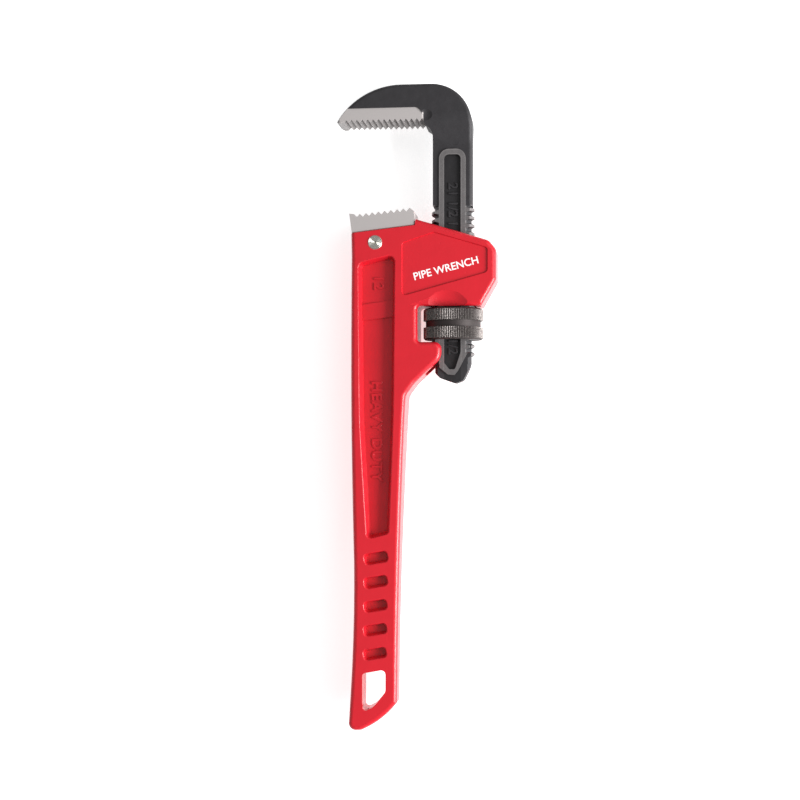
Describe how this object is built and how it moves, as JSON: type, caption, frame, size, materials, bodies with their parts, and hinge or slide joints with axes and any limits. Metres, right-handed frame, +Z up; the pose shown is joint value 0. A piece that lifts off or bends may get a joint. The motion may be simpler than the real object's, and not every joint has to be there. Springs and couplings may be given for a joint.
{
  "type": "pipe wrench",
  "caption": "Straight pipe wrench: cast I-section handle and housing, sliding hook jaw with a threaded shank, knurled adjusting nut and pinned heel jaw.",
  "frame": {"origin": "under the middle of the wrench's box as it lies flat, at the nut rim's lowest point", "axes": "+Y from the handle's end to the hook jaw, +X from the mouth to the back of the shank, +Z up through the thickness"},
  "size_m": [0.0716, 0.2894, 0.0268],
  "materials": {
    "red_paint": "gloss paint over cast iron",
    "black_oxide": "forged steel, black oxide",
    "ground_steel": "ground",
    "nut_finish": "dark phosphate",
    "pin_steel": "turned",
    "spring_steel": "blued spring steel"
  },
  "bodies": {
    "handle": {"handle_frame": "red_paint", "heel_jaw": "ground_steel", "heel_jaw_pin": "pin_steel", "coil_spring": "spring_steel"},
    "spring_carrier": {"flat_spring": "spring_steel", "spring_rivet": "pin_steel"},
    "nut": {"adjusting_nut": "nut_finish"},
    "hook": {"hook_jaw": "black_oxide"}
  },
  "joints": [
    {"name": "jaw_rock", "type": "hinge", "parent": "handle", "child": "spring_carrier", "pos_m": [0.0064, 0.0458, 0.0134], "axis": [0, 0, -1], "range_deg": [0, 3], "stiffness_Nm_per_rad": 2.5, "springref_deg": -5.73, "deforming": ["coil_spring"]},
    {"name": "nut_spin", "type": "hinge", "parent": "spring_carrier", "child": "nut", "pos_m": [0.01605, 0.0378, 0.0134], "axis": [0, 1, 0], "range_deg": [-1201, 3701]},
    {"name": "hook_slide", "type": "slide", "parent": "spring_carrier", "child": "hook", "axis": [0, 1, 0], "range_m": [-0.037, 0.012]}
  ],
  "couplings": [
    {"joint": "nut_spin", "follows": "hook_slide", "rad_per_m": -1745.3}
  ]
}
